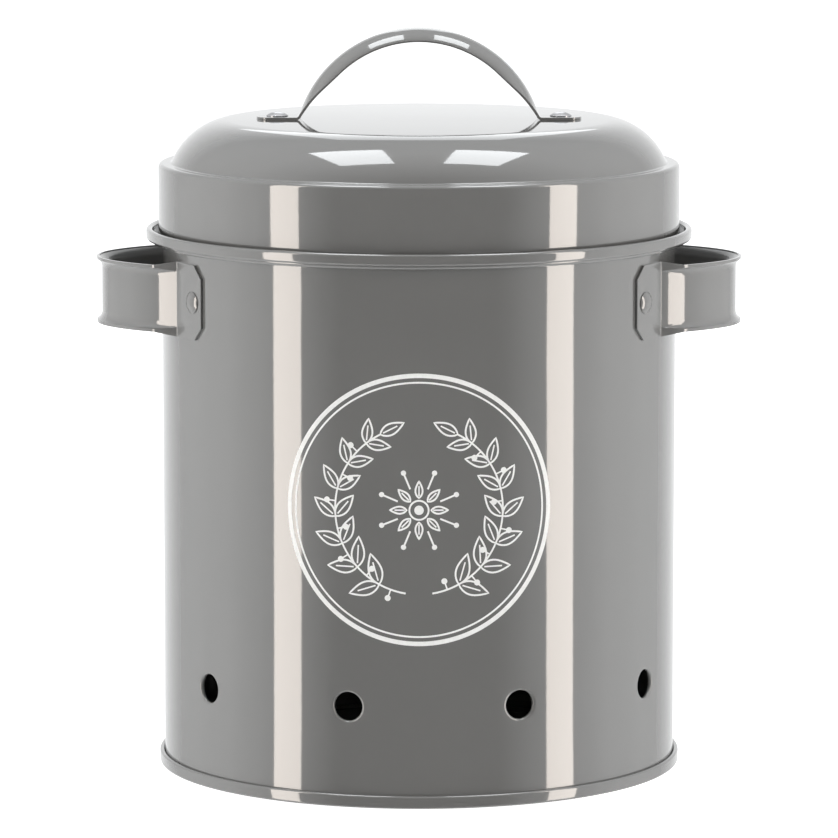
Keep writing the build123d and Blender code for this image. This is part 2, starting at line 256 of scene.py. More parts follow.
def linear(hex_colour):
    """The linear RGBA of an sRGB colour that is written as six hex digits."""
    values = [int(hex_colour[i:i + 2], 16) / 255 for i in (1, 3, 5)]
    return tuple(v / 12.92 if v <= 0.04045 else ((v + 0.055) / 1.055) ** 2.4 for v in values) + (1.0,)


def rounded(points, radii):
    """The line through the points, with each inner corner rounded to its radius."""
    line = [Vector(points[0])]
    for before, corner, after, radius in zip(points, points[1:], points[2:], radii):
        corner = Vector(corner)
        into = (corner - Vector(before)).normalized()
        out = (Vector(after) - corner).normalized()
        side = 1 if into.x * out.y - into.y * out.x > 0 else -1
        turn = acos(max(-1.0, min(1.0, into.dot(out))))
        start = corner - into * radius * tan(turn / 2)
        centre = start + Vector((-into.y, into.x)) * side * radius
        steps = max(2, ceil(turn / ARC_STEP))
        arm = start - centre
        for i in range(steps + 1):
            a = side * turn * i / steps
            line.append(centre + Vector((arm.x * cos(a) - arm.y * sin(a), arm.x * sin(a) + arm.y * cos(a))))
    line.append(Vector(points[-1]))
    return line


def walk(start, heading, moves, step):
    """Stations (place, heading, distance) along straight runs and tangent arcs.

    A move is (length, turn); a positive turn goes left. Arcs are cut at every ARC_STEP, and
    every move is cut at least at each step of length.
    """
    place, gone = Vector(start), 0.0
    stations = [(place.copy(), heading, gone)]
    for length, turn in moves:
        pieces = max(1, ceil(length / step), ceil(abs(turn) / ARC_STEP))
        for i in range(1, pieces + 1):
            part, bent = length * i / pieces, turn * i / pieces
            if turn:
                radius, end = length / turn, heading + bent
                shift = Vector((sin(end) - sin(heading), cos(heading) - cos(end))) * radius
            else:
                shift = Vector((cos(heading), sin(heading))) * part
            stations.append((place + shift, heading + bent, gone + part))
        place, heading, gone = stations[-1]
    return stations


def spun(line, steps=ROUND_STEPS):
    """A bmesh of a profile (radius, height), turned fully about Z."""
    bm = bmesh.new()
    verts = [bm.verts.new((p[0], 0, p[1])) for p in line]
    edges = [bm.edges.new(pair) for pair in zip(verts, verts[1:])]
    bmesh.ops.spin(
        bm, geom=verts + edges, cent=(0, 0, 0), axis=(0, 0, 1), angle=2 * pi, steps=steps, use_merge=True
    )
    bmesh.ops.remove_doubles(bm, verts=bm.verts, dist=1e-7)
    return bm


def face_towards(bm, outwards):
    """Turns an open sheet's normals to one side: outwards tells of a face if it points the right way."""
    bmesh.ops.recalc_face_normals(bm, faces=bm.faces)
    right = sum(f.calc_area() * (1 if outwards(f) else -1) for f in bm.faces)
    if right < 0:
        bmesh.ops.reverse_faces(bm, faces=bm.faces)


def from_axis(face):
    """A face of a round sheet that points away from the axis."""
    centre = face.calc_center_median()
    return face.normal.x * centre.x + face.normal.y * centre.y > 0


def add_piece(name, bm, body, nodes, material, sheet=0.0, side=-1, edge=0.0):
    """Makes a piece of the mesh: gives a sheet its thickness, breaks its edges, and seats it on its body."""
    mesh = bpy.data.meshes.new(name)
    bm.to_mesh(mesh)
    bm.free()
    piece = bpy.data.objects.new(name, mesh)
    bpy.context.scene.collection.objects.link(piece)
    if sheet:
        wall = piece.modifiers.new("sheet", "SOLIDIFY")
        wall.thickness = sheet
        wall.offset = side
        wall.use_even_offset = True
        wall.use_rim = True
    if edge:
        bevel = piece.modifiers.new("edge", "BEVEL")
        bevel.width = edge
        bevel.segments = 3
        bevel.limit_method = "ANGLE"
        bevel.angle_limit = radians(50)
        bevel.use_clamp_overlap = True
    if piece.modifiers:
        graph = bpy.context.evaluated_depsgraph_get()
        made = bpy.data.meshes.new_from_object(piece.evaluated_get(graph))
        piece.modifiers.clear()
        piece.data = made
        made.name = name
    piece.data.polygons.foreach_set("use_smooth", [True] * len(piece.data.polygons))
    piece.data.set_sharp_from_angle(angle=SHARP_FROM)
    piece.data.materials.clear()
    piece.data.materials.append(material)
    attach(piece, body)
    if nodes:
        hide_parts(*nodes)
    return piece


def outward(azimuth):
    """The level direction at an azimuth, counted from the front (-Y) towards +X."""
    return Vector((sin(azimuth), -cos(azimuth), 0))


def at_wall(azimuth, radius, height):
    """A matrix that puts a flat drawing on the wall: its X runs round, its Y up, its Z out."""
    out = outward(azimuth)
    round_way = Vector((0, 0, 1)).cross(out)
    turn = Matrix((round_way, Vector((0, 0, 1)), out)).transposed().to_4x4()
    return Matrix.Translation(out * radius + Vector((0, 0, height))) @ turn


def add_node(tree, kind, settings=None, links=None):
    """One shader node, with its settings on sockets or properties, and links into its inputs."""
    node = tree.nodes.new(kind)
    for name, value in (settings or {}).items():
        if name in node.inputs:
            node.inputs[name].default_value = value
        else:
            setattr(node, name, value)
    for name, source in (links or {}).items():
        tree.links.new(source, node.inputs[name])
    return node


def new_material(name):
    material = bpy.data.materials.new(name)
    material.use_nodes = True
    tree = material.node_tree
    tree.nodes.clear()
    return material, tree


# Stoved gloss enamel on tinplate, sprayed and baked: a deep even grey under a clear, hard
# gloss, with the faint orange peel of the spray and a slow waviness of the thin sheet.
def stoved_enamel():
    found = bpy.data.materials.get("stoved_enamel_grey")
    if found:
        return found
    colours = bpy.context.scene.tin_colours
    material, tree = new_material("stoved_enamel_grey")
    place = add_node(tree, "ShaderNodeTexCoord").outputs["Object"]
    peel = add_node(tree, "ShaderNodeTexNoise", {"Scale": 1 / PEEL_SIZE, "Detail": 1.0}, {"Vector": place})
    wave = add_node(tree, "ShaderNodeTexNoise", {"Scale": 1 / WAVE_SIZE, "Detail": 1.0}, {"Vector": place})
    wave_bump = add_node(
        tree, "ShaderNodeBump", {"Strength": 0.35, "Distance": 0.25 * MM}, {"Height": wave.outputs["Fac"]}
    )
    peel_bump = add_node(
        tree,
        "ShaderNodeBump",
        {"Strength": 0.10, "Distance": 0.02 * MM},
        {"Height": peel.outputs["Fac"], "Normal": wave_bump.outputs["Normal"]},
    )
    mist = add_node(tree, "ShaderNodeTexNoise", {"Scale": 1 / MIST_SIZE, "Detail": 3.0}, {"Vector": place})
    shade = add_node(tree, "ShaderNodeValToRGB", {}, {"Fac": mist.outputs["Fac"]})
    shade.color_ramp.elements[0].position = 0.3
    shade.color_ramp.elements[0].color = [c * 0.97 for c in colours.enamel[:3]] + [1]
    shade.color_ramp.elements[1].position = 0.7
    shade.color_ramp.elements[1].color = colours.enamel
    shader = add_node(
        tree,
        "ShaderNodeBsdfPrincipled",
        {
            "Roughness": 0.07,
            "IOR": 1.52,
            "Coat Weight": 1.0,
            "Coat Roughness": 0.03,
            "Coat IOR": 1.5,
        },
        {
            "Base Color": shade.outputs["Color"],
            "Normal": peel_bump.outputs["Normal"],
            "Coat Normal": peel_bump.outputs["Normal"],
        },
    )
    add_node(tree, "ShaderNodeOutputMaterial", {}, {"Surface": shader.outputs["BSDF"]})
    return material


# Screen-printing ink, white and baked on: an opaque satin film that is a little uneven.
def screen_ink():
    found = bpy.data.materials.get("screen_ink_white")
    if found:
        return found
    colours = bpy.context.scene.tin_colours
    material, tree = new_material("screen_ink_white")
    place = add_node(tree, "ShaderNodeTexCoord").outputs["Object"]
    cover = add_node(tree, "ShaderNodeTexNoise", {"Scale": 1 / INK_GRAIN, "Detail": 2.0}, {"Vector": place})
    shade = add_node(tree, "ShaderNodeValToRGB", {}, {"Fac": cover.outputs["Fac"]})
    shade.color_ramp.elements[0].position = 0.25
    shade.color_ramp.elements[0].color = [c * 0.93 for c in colours.ink[:3]] + [1]
    shade.color_ramp.elements[1].position = 0.6
    shade.color_ramp.elements[1].color = colours.ink
    shader = add_node(
        tree,
        "ShaderNodeBsdfPrincipled",
        {"Roughness": 0.35, "IOR": 1.5},
        {"Base Color": shade.outputs["Color"]},
    )
    add_node(tree, "ShaderNodeOutputMaterial", {}, {"Surface": shader.outputs["BSDF"]})
    return material


# Bright plated steel rivets: pressed and tumbled, so a mirror with a fine haze of nicks.
def plated_steel():
    found = bpy.data.materials.get("plated_rivet_steel")
    if found:
        return found
    colours = bpy.context.scene.tin_colours
    material, tree = new_material("plated_rivet_steel")
    place = add_node(tree, "ShaderNodeTexCoord").outputs["Object"]
    nicks = add_node(tree, "ShaderNodeTexNoise", {"Scale": 1 / NICK_SIZE, "Detail": 3.0}, {"Vector": place})
    bump = add_node(
        tree, "ShaderNodeBump", {"Strength": 0.15, "Distance": 0.03 * MM}, {"Height": nicks.outputs["Fac"]}
    )
    haze = add_node(
        tree, "ShaderNodeMapRange", {"To Min": 0.12, "To Max": 0.26}, {"Value": nicks.outputs["Fac"]}
    )
    shader = add_node(
        tree,
        "ShaderNodeBsdfPrincipled",
        {"Metallic": 1.0, "Base Color": colours.steel},
        {"Roughness": haze.outputs["Result"], "Normal": bump.outputs["Normal"]},
    )
    add_node(tree, "ShaderNodeOutputMaterial", {}, {"Surface": shader.outputs["BSDF"]})
    return material


class TinSizes(bpy.types.PropertyGroup):
    """Sizes of the details that are finished here."""

    vent_radius: bpy.props.FloatProperty(
        name="Vent radius", description="Clear radius of each vent hole", default=5.4 * MM, unit="LENGTH"
    )
    edge_round: bpy.props.FloatProperty(
        name="Edge round", description="How far raw sheet edges are broken", default=0.12 * MM, unit="LENGTH"
    )
    strap_edge_round: bpy.props.FloatProperty(
        name="Strap edge round", description="How far the handles' cut edges are broken",
        default=0.3 * MM, unit="LENGTH",
    )
    ring_radius: bpy.props.FloatProperty(
        name="Ring radius", description="Outer radius of the printed ring", default=51.6 * MM, unit="LENGTH"
    )
    ring_line: bpy.props.FloatProperty(
        name="Ring line", description="Width of the ring's thick line", default=1.7 * MM, unit="LENGTH"
    )
    fine_line: bpy.props.FloatProperty(
        name="Fine line", description="Width of the fine printed lines", default=0.7 * MM, unit="LENGTH"
    )
    print_height: bpy.props.FloatProperty(
        name="Print height", description="Height of the print's middle", default=113.7 * MM, unit="LENGTH"
    )


class TinColours(bpy.types.PropertyGroup):
    """Colours of the finishes."""

    enamel: bpy.props.FloatVectorProperty(
        name="Enamel", description="Grey of the baked enamel", subtype="COLOR", size=4,
        default=linear("#6f6f6e"),
    )
    ink: bpy.props.FloatVectorProperty(
        name="Ink", description="White of the screen print", subtype="COLOR", size=4,
        default=linear("#f2f3f2"),
    )
    steel: bpy.props.FloatVectorProperty(
        name="Steel", description="Plated steel of the rivets", subtype="COLOR", size=4,
        default=linear("#b4b4b6"),
    )
    floor: bpy.props.FloatVectorProperty(
        name="Floor", description="Pale studio floor", subtype="COLOR", size=4,
        default=linear("#f4f4f4"),
    )


class TIN_OT_wall(bpy.types.Operator):
    """Roll the wall with its rim, lid step, vents and lock seam"""

    bl_idname = "tin.wall"
    bl_label = "Wall"

    def execute(self, context):
        sizes = context.scene.tin_sizes
        hook_r = WALL_R + SEAM_GAP + SHEET + SEAM_GAP + SHEET
        foot_z = SHEET + SEAM_GAP
        step_z = LID_FOOT_Z - LID_STEP_GAP
        collar_r = RIM_R - COLLAR_INSET
        roll_z = RIM_Z - ROLL_HEIGHT
        hook_fold = FOLD_SHARE * (hook_r - WALL_IN_R)
        rim_fold = FOLD_SHARE * (RIM_R - collar_r)
        line = rounded(
            [
                (hook_r, WALL_HOOK_Z),
                (hook_r, foot_z),
                (WALL_IN_R, foot_z),
                (WALL_IN_R, step_z),
                (collar_r, step_z),
                (collar_r, RIM_Z),
                (RIM_R, RIM_Z),
                (RIM_R, roll_z),
                (RIM_R - ROLL_TURN_IN, roll_z),
            ],
            [hook_fold, hook_fold, STEP_IN_R, STEP_OUT_R, rim_fold, rim_fold, ROLL_BEND_R],
        )
        rows = [VENT_Z + VENT_ROW * i for i in range(-4, 5)]
        straight = next(i for i, p in enumerate(line) if p.y > VENT_Z)
        line[straight:straight] = [Vector((WALL_IN_R, z)) for z in rows]
        bm = spun(line)
        for azimuth in vent_azimuths():
            self.open_vent(bm, azimuth, sizes.vent_radius + SHEET)
        self.fold_lock_seam(bm)
        face_towards(bm, lambda f: from_axis(f) or not self.on_wall(f))
        add_piece(
            "tin_wall", bm, "tin", ["body_wall"], stoved_enamel(),
            sheet=SHEET, side=1, edge=sizes.edge_round,
        )
        self.lay_fold(sizes.edge_round)
        return {"FINISHED"}

    @staticmethod
    def lay_fold(edge):
        """The lock seam's hooked edges, pressed flat on the inside of the wall."""
        bm = bmesh.new()
        bmesh.ops.create_grid(bm, x_segments=8, y_segments=24, size=0.5)
        for vert in bm.verts:
            round_way = vert.co.x * LOCK_SEAM_WIDTH / WALL_R
            height = LOCK_SEAM_FOOT + (vert.co.y + 0.5) * (LOCK_SEAM_TOP - LOCK_SEAM_FOOT)
            vert.co = outward(LOCK_SEAM + round_way) * WALL_IN_R + Vector((0, 0, height))
        face_towards(bm, lambda f: not from_axis(f))
        add_piece(
            "lock_seam_fold", bm, "tin", [], stoved_enamel(),
            sheet=LOCK_SEAM_DEPTH, side=1, edge=2 * edge,
        )

    @staticmethod
    def on_wall(face):
        centre = face.calc_center_median()
        return abs(Vector((centre.x, centre.y)).length - WALL_IN_R) < 0.2 * MM

    @staticmethod
    def open_vent(bm, azimuth, radius):
        """Swaps a patch of the wall for a round hole with a lip that is dished inwards."""
        place = at_wall(azimuth, WALL_IN_R, VENT_Z)
        to_flat = place.inverted()
        patch = []
        for face in bm.faces:
            flat = to_flat @ face.calc_center_median()
            if max(abs(flat.x), abs(flat.y)) < VENT_PATCH and abs(flat.z) < VENT_PATCH_DEPTH:
                patch.append(face)
        touched = {e for f in patch for e in f.edges}
        border = [e for e in touched if sum(f in patch for f in e.link_faces) == 1]
        bmesh.ops.delete(bm, geom=patch, context="FACES")
        ring = bmesh.ops.create_circle(bm, cap_ends=False, radius=1.0, segments=len(border), matrix=place)
        loop = ring["verts"]
        edges = list({e for v in loop for e in v.link_edges})
        TIN_OT_wall.set_ring(loop, to_flat, place, radius + VENT_DISH_EDGE, 0.0)
        bmesh.ops.bridge_loops(bm, edges=border + edges)
        for wider, deeper in VENT_DISH:
            made = bmesh.ops.extrude_edge_only(bm, edges=edges)["geom"]
            loop = [g for g in made if isinstance(g, bmesh.types.BMVert)]
            edges = [
                g for g in made
                if isinstance(g, bmesh.types.BMEdge) and all(v in loop for v in g.verts)
            ]
            TIN_OT_wall.set_ring(loop, to_flat, place, radius + wider * MM, deeper * MM)

    @staticmethod
    def set_ring(loop, to_flat, place, radius, depth):
        """Moves a ring of vertices to a radius in the vent's plane and a depth under the wall."""
        for vert in loop:
            flat = to_flat @ vert.co
            flat = Vector((flat.x, flat.y)).normalized() * radius
            sunk = sqrt(WALL_IN_R**2 - flat.x**2) - WALL_IN_R - depth
            vert.co = place @ Vector((flat.x, flat.y, sunk))

    @staticmethod
    def fold_lock_seam(bm):
        """Cuts the wall beside the seam, and sinks the groove between the two hooked edges."""
        round_way = at_wall(LOCK_SEAM, 0, 0).to_3x3() @ Vector((1, 0, 0))
        out = outward(LOCK_SEAM)
        for offset in GROOVE_CUTS:
            near = [
                f for f in bm.faces
                if f.calc_center_median().dot(out) > 0.9 * WALL_IN_R
                and abs(f.calc_center_median().dot(round_way)) < GROOVE_REACH
            ]
            geom = list({g for f in near for g in (*f.verts, *f.edges, f)})
            place = out * WALL_IN_R + round_way * offset * MM
            bmesh.ops.bisect_plane(bm, geom=geom, dist=1e-7, plane_co=place, plane_no=round_way)
        for vert in bm.verts:
            across = abs(vert.co.dot(round_way))
            level = Vector((vert.co.x, vert.co.y)).length
            if vert.co.dot(out) > 0 and across < GROOVE_HALF and abs(level - WALL_IN_R) < 0.05 * MM:
                if SEAM_HEIGHT < vert.co.z < GROOVE_TOP:
                    vert.co -= out * (GROOVE_DEPTH if across < GROOVE_FLOOR_HALF else GROOVE_SIDE_DEPTH)


def vent_azimuths():
    """The vents are spaced evenly, centred opposite the lock seam."""
    return [LOCK_SEAM + pi + (i - (VENT_COUNT - 1) / 2) * VENT_PITCH for i in range(VENT_COUNT)]


class TIN_OT_base(bpy.types.Operator):
    """Form the base panel and fold its edge round the wall's foot"""

    bl_idname = "tin.base"
    bl_label = "Base"

    def execute(self, context):
        chuck_r = WALL_IN_R - SEAM_GAP - SHEET
        hook_r = WALL_R + SEAM_GAP
        fold = FOLD_SHARE * (SEAM_R - hook_r)
        line = rounded(
            [
                (0, PANEL_Z),
                (BEAD_IN_R, PANEL_Z),
                (BEAD_IN_R + BEAD_SLOPE, PANEL_Z + BEAD_RISE),
                (BEAD_OUT_R - BEAD_SLOPE, PANEL_Z + BEAD_RISE),
                (BEAD_OUT_R, PANEL_Z),
                (chuck_r, PANEL_Z),
                (chuck_r, 0),
                (SEAM_R, 0),
                (SEAM_R, SEAM_HEIGHT),
                (hook_r, SEAM_HEIGHT),
                (hook_r, BASE_HOOK_Z),
            ],
            [BEAD_BEND_R] * 4 + [PANEL_CORNER_R, SEAM_FOOT_R, SEAM_FOOT_R, fold, fold],
        )
        bm = spun(line)
        face_towards(bm, self.faces_out)
        add_piece(
            "tin_base", bm, "tin", ["base_plate"], stoved_enamel(),
            sheet=SHEET, side=-1,
        )
        return {"FINISHED"}

    @staticmethod
    def faces_out(face):
        """A face of the panel that points down, or one of the seam that points away from the axis."""
        if face.calc_center_median().xy.length < FLAT_R:
            return face.normal.z < 0
        return from_axis(face)


class TIN_OT_lid(bpy.types.Operator):
    """Draw the lid with its flat top, dome, ledge and folded hem"""

    bl_idname = "tin.lid"
    bl_label = "Lid"

    def execute(self, context):
        dome_turn = SHOULDER[1] + DOME[1]
        moves = [
            (FLAT_R, 0),
            (SHOULDER[0] * SHOULDER[1], -SHOULDER[1]),
            (DOME[0] * DOME[1], -DOME[1]),
            (DOME_FOOT_R * dome_turn, dome_turn),
        ]
        so_far = walk((0, LID_TOP_Z), 0, moves, 1.0)[-1][0]
        skirt = so_far.y - LEDGE_EDGE_R - LID_FOOT_Z - HEM_WIDTH / 2
        moves += [
            (SKIRT_R - LEDGE_EDGE_R - so_far.x, 0),
            (LEDGE_EDGE_R * pi / 2, -pi / 2),
            (skirt, 0),
            (HEM_WIDTH / 2 * pi, -pi),
            (HEM_HEIGHT - HEM_WIDTH / 2, 0),
        ]
        line = [place for place, _, _ in walk((0, LID_TOP_Z), 0, moves, 0.5)]
        bm = spun(self.finer(line))
        face_towards(bm, lambda f: f.normal.z > 0)
        add_piece(
            "tin_lid", bm, "lid", ["lid_shell"], stoved_enamel(),
            sheet=SHEET, side=-1, edge=context.scene.tin_sizes.edge_round,
        )
        return {"FINISHED"}

    @staticmethod
    def finer(line):
        """Halves the long chords of the dome, so that its gloss shows no facets."""
        fine = [line[0]]
        for before, after in zip(line, line[1:]):
            if DOME_CHORDS[0] < (after - before).length < DOME_CHORDS[1]:
                fine.append((before + after) / 2)
            fine.append(after)
        return fine


class TIN_OT_lid_handle(bpy.types.Operator):
    """Press the crowned strap handle and flatten its feet onto the lid"""

    bl_idname = "tin.lid_handle"
    bl_label = "Lid handle"

    def execute(self, context):
        arch_z = STRAP_TOP_Z - ARCH_R
        foot_top = LID_TOP_Z + STRAP_SHEET
        foot_angle = asin((foot_top - arch_z + FOOT_BEND_R) / (ARCH_R + FOOT_BEND_R))
        arch_length = ARCH_R * (pi / 2 - foot_angle)
        bend_turn = pi / 2 - foot_angle
        foot_x = (ARCH_R + FOOT_BEND_R) * cos(foot_angle)
        foot_length = STRAP_TIP_X - foot_x
        right = walk(
            (0, STRAP_TOP_Z), 0,
            [(arch_length, foot_angle - pi / 2), (FOOT_BEND_R * bend_turn, bend_turn), (foot_length, 0)],
            ROUTE_STEP,
        )
        total = right[-1][2]
        left = [(Vector((-p.x, p.y)), -h, -d) for p, h, d in reversed(right[1:])]
        stations = left + right
        shares = [i / 12 - 1 for i in range(25)]
        bm = bmesh.new()
        bmesh.ops.create_grid(bm, x_segments=len(stations) - 1, y_segments=len(shares) - 1, size=0.5)
        for vert in bm.verts:
            place, heading, gone = stations[round((vert.co.x + 0.5) * (len(stations) - 1))]
            share = shares[round((vert.co.y + 0.5) * (len(shares) - 1))]
            y = share * self.half_width(total - abs(gone))
            angle = pi / 2 - abs(gone) / ARCH_R
            crown = CROWN * self.eased(max(0.0, (angle - foot_angle) / (CROWN_ENDS_AT - foot_angle)))
            depth = 0.0
            if crown > 1e-6:
                radius = ((STRAP_WIDTH / 2) ** 2 + crown**2) / (2 * crown)
                depth = radius - sqrt(radius**2 - y**2)
            normal = Vector((-sin(heading), cos(heading)))
            place = place - normal * depth
            vert.co = Vector((place.x, y, place.y))
        face_towards(bm, lambda f: f.normal.z > 0)
        add_piece(
            "lid_strap", bm, "lid", ["lid_handle"], stoved_enamel(),
            sheet=STRAP_SHEET, side=-1, edge=context.scene.tin_sizes.strap_edge_round,
        )
        return {"FINISHED"}

    @staticmethod
    def eased(share):
        """The share, led smoothly over into 1."""
        mix = max(0.0, min(1.0, 0.5 + 0.5 * (1 - share) / CROWN_EASE))
        return share * mix + (1 - mix) - CROWN_EASE * mix * (1 - mix)

    @staticmethod
    def half_width(from_tip):
        """Half the strap's width, with the corners of its tips rounded."""
        short = max(0.0, FOOT_CORNER_R - from_tip)
        return STRAP_WIDTH / 2 - FOOT_CORNER_R + sqrt(FOOT_CORNER_R**2 - short**2)


class TIN_OT_side_handles(bpy.types.Operator):
    """Bend the two side handles and turn their edges outwards"""

    bl_idname = "tin.side_handles"
    bl_label = "Side handles"

    def execute(self, context):
        for name, node, sign in (("right_loop", "right_handle", 1), ("left_loop", "left_handle", -1)):
            bm = self.loop(sign)
            face_towards(bm, self.faces_out)
            add_piece(
                name, bm, "tin", [node], stoved_enamel(),
                sheet=STRAP_SHEET, side=-1, edge=context.scene.tin_sizes.strap_edge_round,
            )
        return {"FINISHED"}

    @staticmethod
    def faces_out(face):
        centre = face.calc_center_median()
        return face.normal.x * (abs(centre.x) / centre.x) > 0

    @staticmethod
    def route():
        """The outer face of the front half, from the tab's end to the outermost point."""
        start = outward(TAB_END).xy * TAB_OUT_R
        bend = LEG_HEADING - TAB_BEND
        moves = [
            (TAB_OUT_R * (TAB_BEND - TAB_END), TAB_BEND - TAB_END),
            (TAB_BEND_R * -bend, bend),
            (LEG_LENGTH * LEG_TURN / 2 / sin(LEG_TURN / 2), LEG_TURN),
        ]
        leg_end, end_heading, _ = walk(start, TAB_END, moves, 1.0)[-1]
        across, back = LOOP_REACH - leg_end.x, -leg_end.y
        a, b = sin(LOOP_TIGHTENS_AT) - sin(end_heading), 1 - sin(LOOP_TIGHTENS_AT)
        c, d = cos(end_heading) - cos(LOOP_TIGHTENS_AT), cos(LOOP_TIGHTENS_AT)
        wide = (across * d - b * back) / (a * d - b * c)
        tight = (a * back - across * c) / (a * d - b * c)
        first, second = LOOP_TIGHTENS_AT - end_heading, pi / 2 - LOOP_TIGHTENS_AT
        moves += [(wide * first, first), (tight * second, second)]
        return walk(start, TAB_END, moves, ROUTE_STEP), moves

    @classmethod
    def loop(cls, sign):
        front, moves = cls.route()
        total = front[-1][2]
        back = [(Vector((p.x, -p.y)), pi - h, 2 * total - d) for p, h, d in reversed(front[:-1])]
        stations = front + back
        bend_end = moves[0][0] + moves[1][0]
        rows = len(cls.across(0))
        bm = bmesh.new()
        bmesh.ops.create_grid(bm, x_segments=len(stations) - 1, y_segments=rows - 1, size=0.5)
        for vert in bm.verts:
            place, heading, gone = stations[round((vert.co.x + 0.5) * (len(stations) - 1))]
            gone = min(gone, 2 * total - gone)
            flare = max(0.0, min(1.0, (gone - bend_end) / moves[2][0]))
            up, proud = cls.across(flare)[round((vert.co.y + 0.5) * (rows - 1))]
            if gone < TAB_CHAMFER:
                up *= 1 - (TAB_CHAMFER - gone) / (TAB_HEIGHT / 2)
            place = place + Vector((sin(heading), -cos(heading))) * proud
            vert.co = Vector((sign * place.x, place.y, LOOP_Z + up))
        bmesh.ops.remove_doubles(bm, verts=bm.verts, dist=0.4 * LIP_ROOT)
        return bm

    @staticmethod
    def across(flare):
        """The rows across the strap, from its foot to its top: height from the middle, and how far proud.

        The pressed flare is ruled: straight lines lead from the flat strap to the finished lip.
        """
        def between(flat, flared):
            return flat + (flared - flat) * flare

        root = between(TAB_HEIGHT / 2 - LIP_FLAT, LOOP_HEIGHT / 2 - LIP_END - LIP_R * sin(LIP_TURN))
        upper = [(root * share, 0.0) for share in (0.25, 0.5, 0.75, 0.97)]
        for share in (i / 8 for i in range(9)):
            up = root + between(LIP_ROOT * share, LIP_R * sin(LIP_TURN * share))
            upper.append((up, flare * LIP_R * (1 - cos(LIP_TURN * share))))
        top, proud = upper[-1]
        upper += [(top + between(LIP_FLAT - LIP_ROOT, LIP_END) * share, proud) for share in (0.12, 0.5, 1.0)]
        return [(-up, proud) for up, proud in reversed(upper)] + [(0.0, 0.0)] + upper


class TIN_OT_rivets(bpy.types.Operator):
    """Set the domed rivets in the lid handle's feet and the side handles' tabs"""

    bl_idname = "tin.rivets"
    bl_label = "Rivets"

    def execute(self, context):
        for name, x in (("lid_left_rivet", -LID_RIVET_X), ("lid_right_rivet", LID_RIVET_X)):
            place = Matrix.Translation((x, 0, LID_TOP_Z + STRAP_SHEET))
            self.rivet(name, place, STRAP_SHEET + SHEET, "lid", "rivet_steel", plated_steel())
        head_r = TAB_OUT_R + CURVE_CLEARANCE
        grip = head_r - sqrt(WALL_IN_R**2 - TAIL_R**2) + CURVE_CLEARANCE
        for name, azimuth in (
            ("right_front_rivet", SIDE_RIVET),
            ("right_back_rivet", pi - SIDE_RIVET),
            ("left_back_rivet", pi + SIDE_RIVET),
            ("left_front_rivet", -SIDE_RIVET),
        ):
            place = at_wall(azimuth, head_r, LOOP_Z)
            self.rivet(name, place, grip, "tin", "rivet_paint", stoved_enamel())
        return {"FINISHED"}

    @staticmethod
    def rivet(node, place, grip, body, slot, material):
        """One rivet, turned about its own axis and put in its hole."""
        rise = HEAD_HEIGHT - HEAD_EDGE
        dome_r = (HEAD_R**2 + rise**2) / (2 * rise)
        swing = asin(HEAD_R / dome_r)
        dome = [
            (dome_r * sin(swing * i / 12), HEAD_HEIGHT - dome_r * (1 - cos(swing * i / 12)))
            for i in range(13)
        ]
        rest = rounded(
            [
                dome[-1],
                (HEAD_R, 0),
                (SHANK_R, 0),
                (SHANK_R, -grip),
                (TAIL_R, -grip),
                (TAIL_R, -grip - TAIL_HEIGHT),
                (0, -grip - TAIL_HEIGHT),
            ],
            [RIM_ROUND, SHANK_ROUND, SHANK_ROUND, RIM_ROUND, TAIL_END_ROUND],
        )
        bm = spun([Vector(p) for p in dome] + rest[1:], steps=48)
        bmesh.ops.recalc_face_normals(bm, faces=bm.faces)
        bmesh.ops.transform(bm, matrix=place, verts=bm.verts)
        add_piece(node.replace("rivet", "rivet_head"), bm, body, [node], material)


